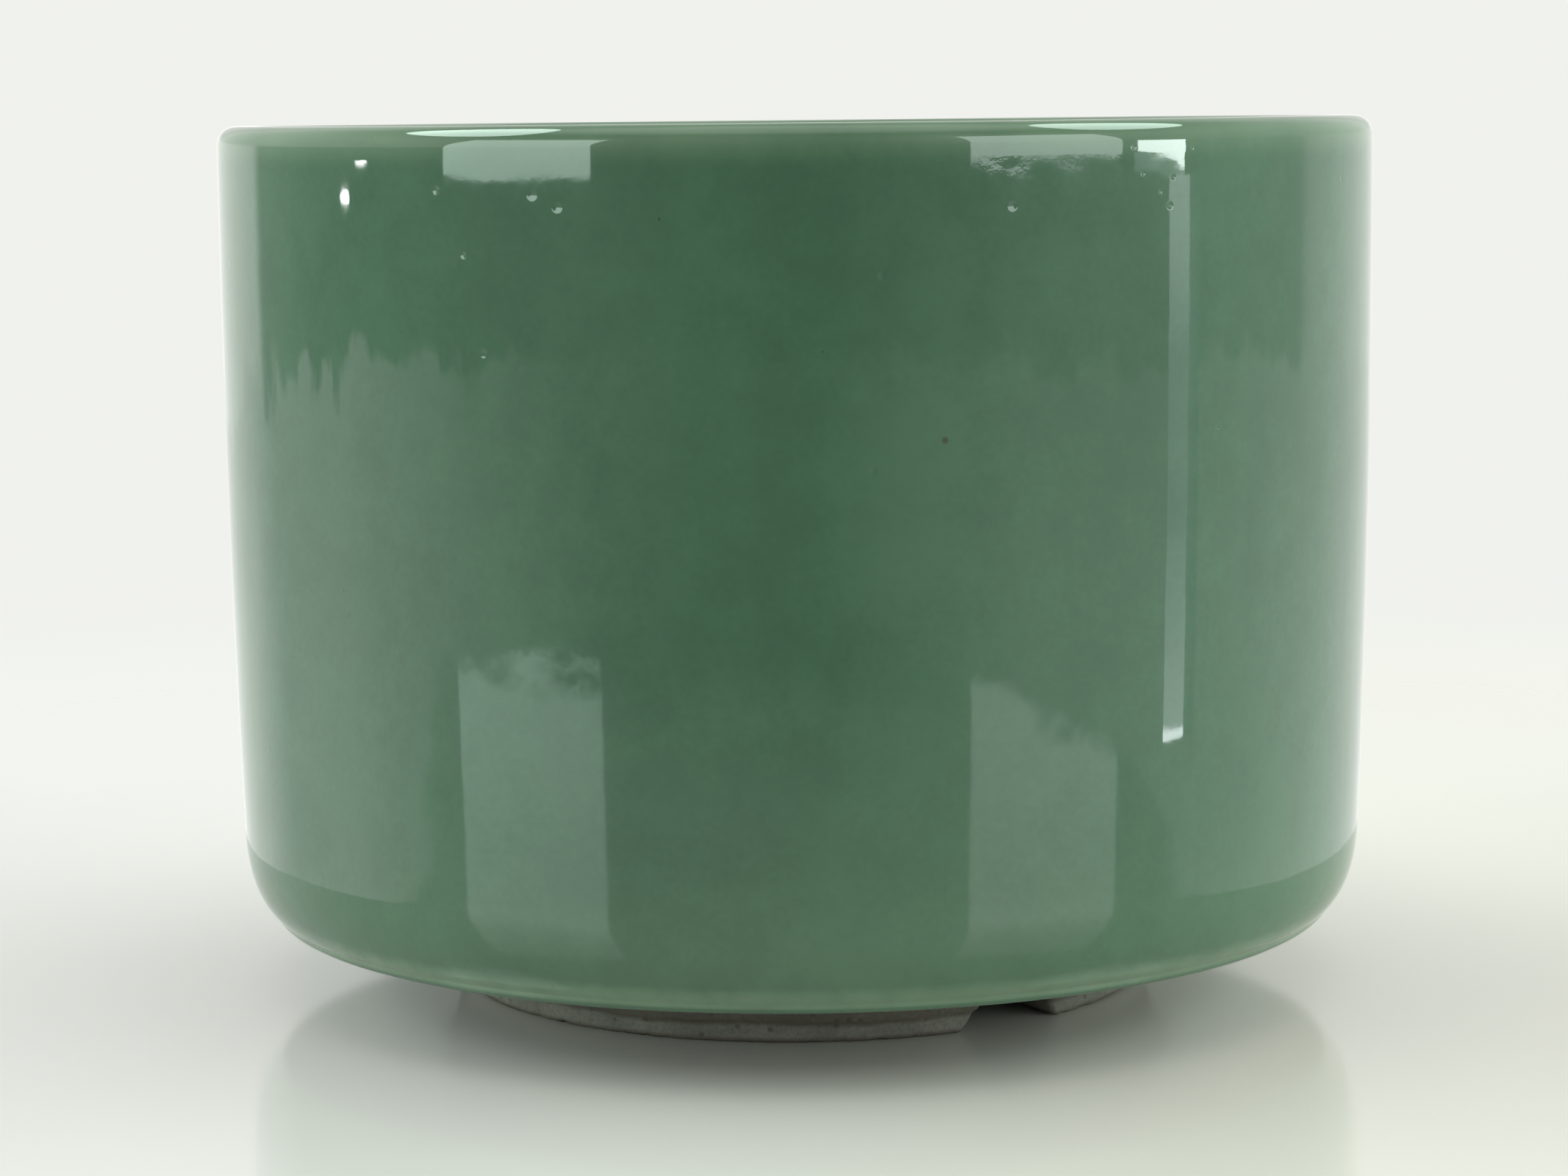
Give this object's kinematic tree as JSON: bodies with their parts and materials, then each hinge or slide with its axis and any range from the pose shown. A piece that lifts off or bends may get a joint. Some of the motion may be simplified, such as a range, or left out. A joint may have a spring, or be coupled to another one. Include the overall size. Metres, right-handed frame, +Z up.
{
  "type": "brush pot",
  "caption": "Squat round glazed ceramic pot with a straight wall, a rounded lip and a low notched foot ring, for standing brushes in.",
  "frame": {"origin": "centre of the pot's axis on the plane that the feet stand on", "axes": "+Z up along the pot's axis; -Y is the front, and the middle of one notch is 35 degrees from it towards +X"},
  "size_m": [0.12, 0.12, 0.09],
  "materials": {
    "celadon_glaze": "gloss",
    "clay_body": "matte",
    "bare_foot": "matte"
  },
  "bodies": {
    "root": {"clay_cup": "clay_body", "foot_front": "bare_foot", "foot_right": "bare_foot", "foot_left": "bare_foot", "outer_glaze": "celadon_glaze", "inner_glaze": "celadon_glaze", "base_glaze": "celadon_glaze", "recess_glaze": "celadon_glaze"}
  },
  "joints": []
}
